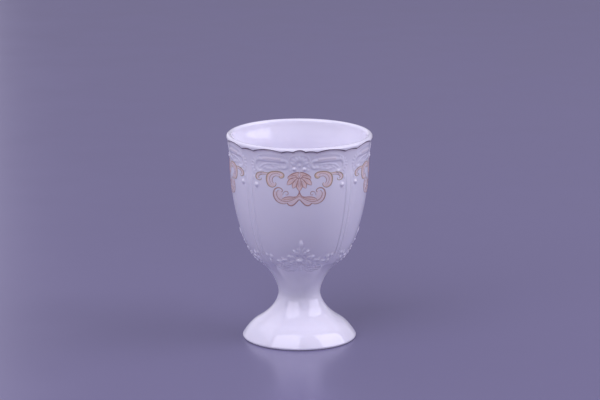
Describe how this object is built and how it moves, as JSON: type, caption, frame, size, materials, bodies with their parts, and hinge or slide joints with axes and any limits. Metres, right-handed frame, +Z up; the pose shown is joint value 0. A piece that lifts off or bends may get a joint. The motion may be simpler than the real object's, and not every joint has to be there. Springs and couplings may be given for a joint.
{
  "type": "egg cup",
  "caption": "Footed porcelain egg cup: deep bowl with moulded scroll border and scalloped painted line, enamelled panel ornaments, slim neck and flared hollow foot.",
  "frame": {"origin": "centre of the foot ring, on the surface the cup stands on", "axes": "+Z up along the cup's axis, -Y out of the front panel, +X to the right of the front panel"},
  "size_m": [0.0482, 0.0482, 0.069],
  "materials": {
    "porcelain": "glossy clear glaze on white porcelain, bare and matt on the foot ring",
    "rim_colour": "fired mauve-brown line, satin",
    "enamel": "fired salmon enamel, satin",
    "linework": "fired gold-brown print, satin"
  },
  "bodies": {
    "root": {"bowl": "porcelain", "foot": "porcelain", "slip_seam": "porcelain", "rim_line": "rim_colour", "front_enamel": "enamel", "right_enamel": "enamel", "back_enamel": "enamel", "left_enamel": "enamel", "front_linework": "linework", "right_linework": "linework", "back_linework": "linework", "left_linework": "linework"}
  },
  "joints": []
}
